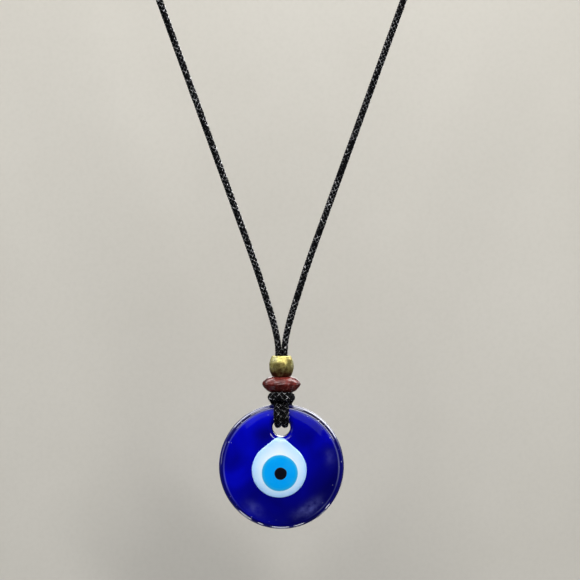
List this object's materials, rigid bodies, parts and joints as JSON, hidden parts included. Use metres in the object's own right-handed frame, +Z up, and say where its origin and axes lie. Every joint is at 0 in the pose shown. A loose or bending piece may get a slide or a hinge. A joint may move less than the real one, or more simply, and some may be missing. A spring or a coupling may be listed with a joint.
{
  "type": "evil eye pendant necklace",
  "caption": "Cobalt glass evil eye disc on a black braided cord, hitched under a red-brown saucer bead and a brass barrel bead; sliding knots close the loop.",
  "frame": {"origin": "inside top of the neck loop, where it rests on a hook or a neck", "axes": "+Z up, against the way it hangs; the eye faces -Y; +X to the viewer's right"},
  "size_m": [0.1204, 0.0109, 0.2482],
  "materials": {
    "cobalt_glass": "gloss",
    "white_glass": "gloss",
    "light_blue_glass": "gloss",
    "black_glass": "gloss",
    "red_brown_bead": "gloss",
    "aged_brass": "satin",
    "braided_cord": "matte"
  },
  "bodies": {
    "neck_cord": {"left_strand": "braided_cord", "right_strand": "braided_cord", "left_run": "braided_cord", "right_run": "braided_cord"},
    "left_slider": {"left_sliding_knot": "braided_cord", "left_tail": "braided_cord"},
    "right_slider": {"right_sliding_knot": "braided_cord", "right_tail": "braided_cord"},
    "bend": {"left_cord_bend": "braided_cord", "right_cord_bend": "braided_cord"},
    "drop": {"left_bead_cord": "braided_cord", "right_bead_cord": "braided_cord", "hitch_loop": "braided_cord"},
    "barrel": {"barrel_bead": "aged_brass"},
    "saucer": {"saucer_bead": "red_brown_bead"},
    "charm": {"glass_disc": "cobalt_glass", "eye_white": "white_glass", "eye_iris": "light_blue_glass", "eye_pupil": "black_glass"}
  },
  "joints": [
    {"name": "left_knot_slide", "type": "slide", "parent": "neck_cord", "child": "left_slider", "axis": [1, 0, 0], "range_m": [-0.005, 0.018], "deforming": ["right_run"]},
    {"name": "right_knot_slide", "type": "slide", "parent": "neck_cord", "child": "right_slider", "axis": [-1, 0, 0], "range_m": [-0.005, 0.018], "deforming": ["left_run"]},
    {"name": "drop_swing", "type": "hinge", "parent": "neck_cord", "child": "bend", "pos_m": [0, 0, -0.1799], "axis": [1, 0, 0], "range_deg": [-40, 40], "deforming": ["left_cord_bend", "right_cord_bend"]},
    {"name": "drop_sway", "type": "hinge", "parent": "bend", "child": "drop", "pos_m": [0, 0, -0.1916], "axis": [0, 1, 0], "range_deg": [-30, 30]},
    {"name": "barrel_slide", "type": "slide", "parent": "drop", "child": "barrel", "axis": [0, 0, 1], "range_m": [0, 0.0035]},
    {"name": "saucer_spin", "type": "hinge", "parent": "drop", "child": "saucer", "pos_m": [0, 0, -0.20365], "axis": [0, 0, 1], "continuous": true},
    {"name": "charm_tilt", "type": "hinge", "parent": "drop", "child": "charm", "pos_m": [0, 0, -0.21125], "axis": [1, 0, 0], "range_deg": [-10, 10]}
  ]
}
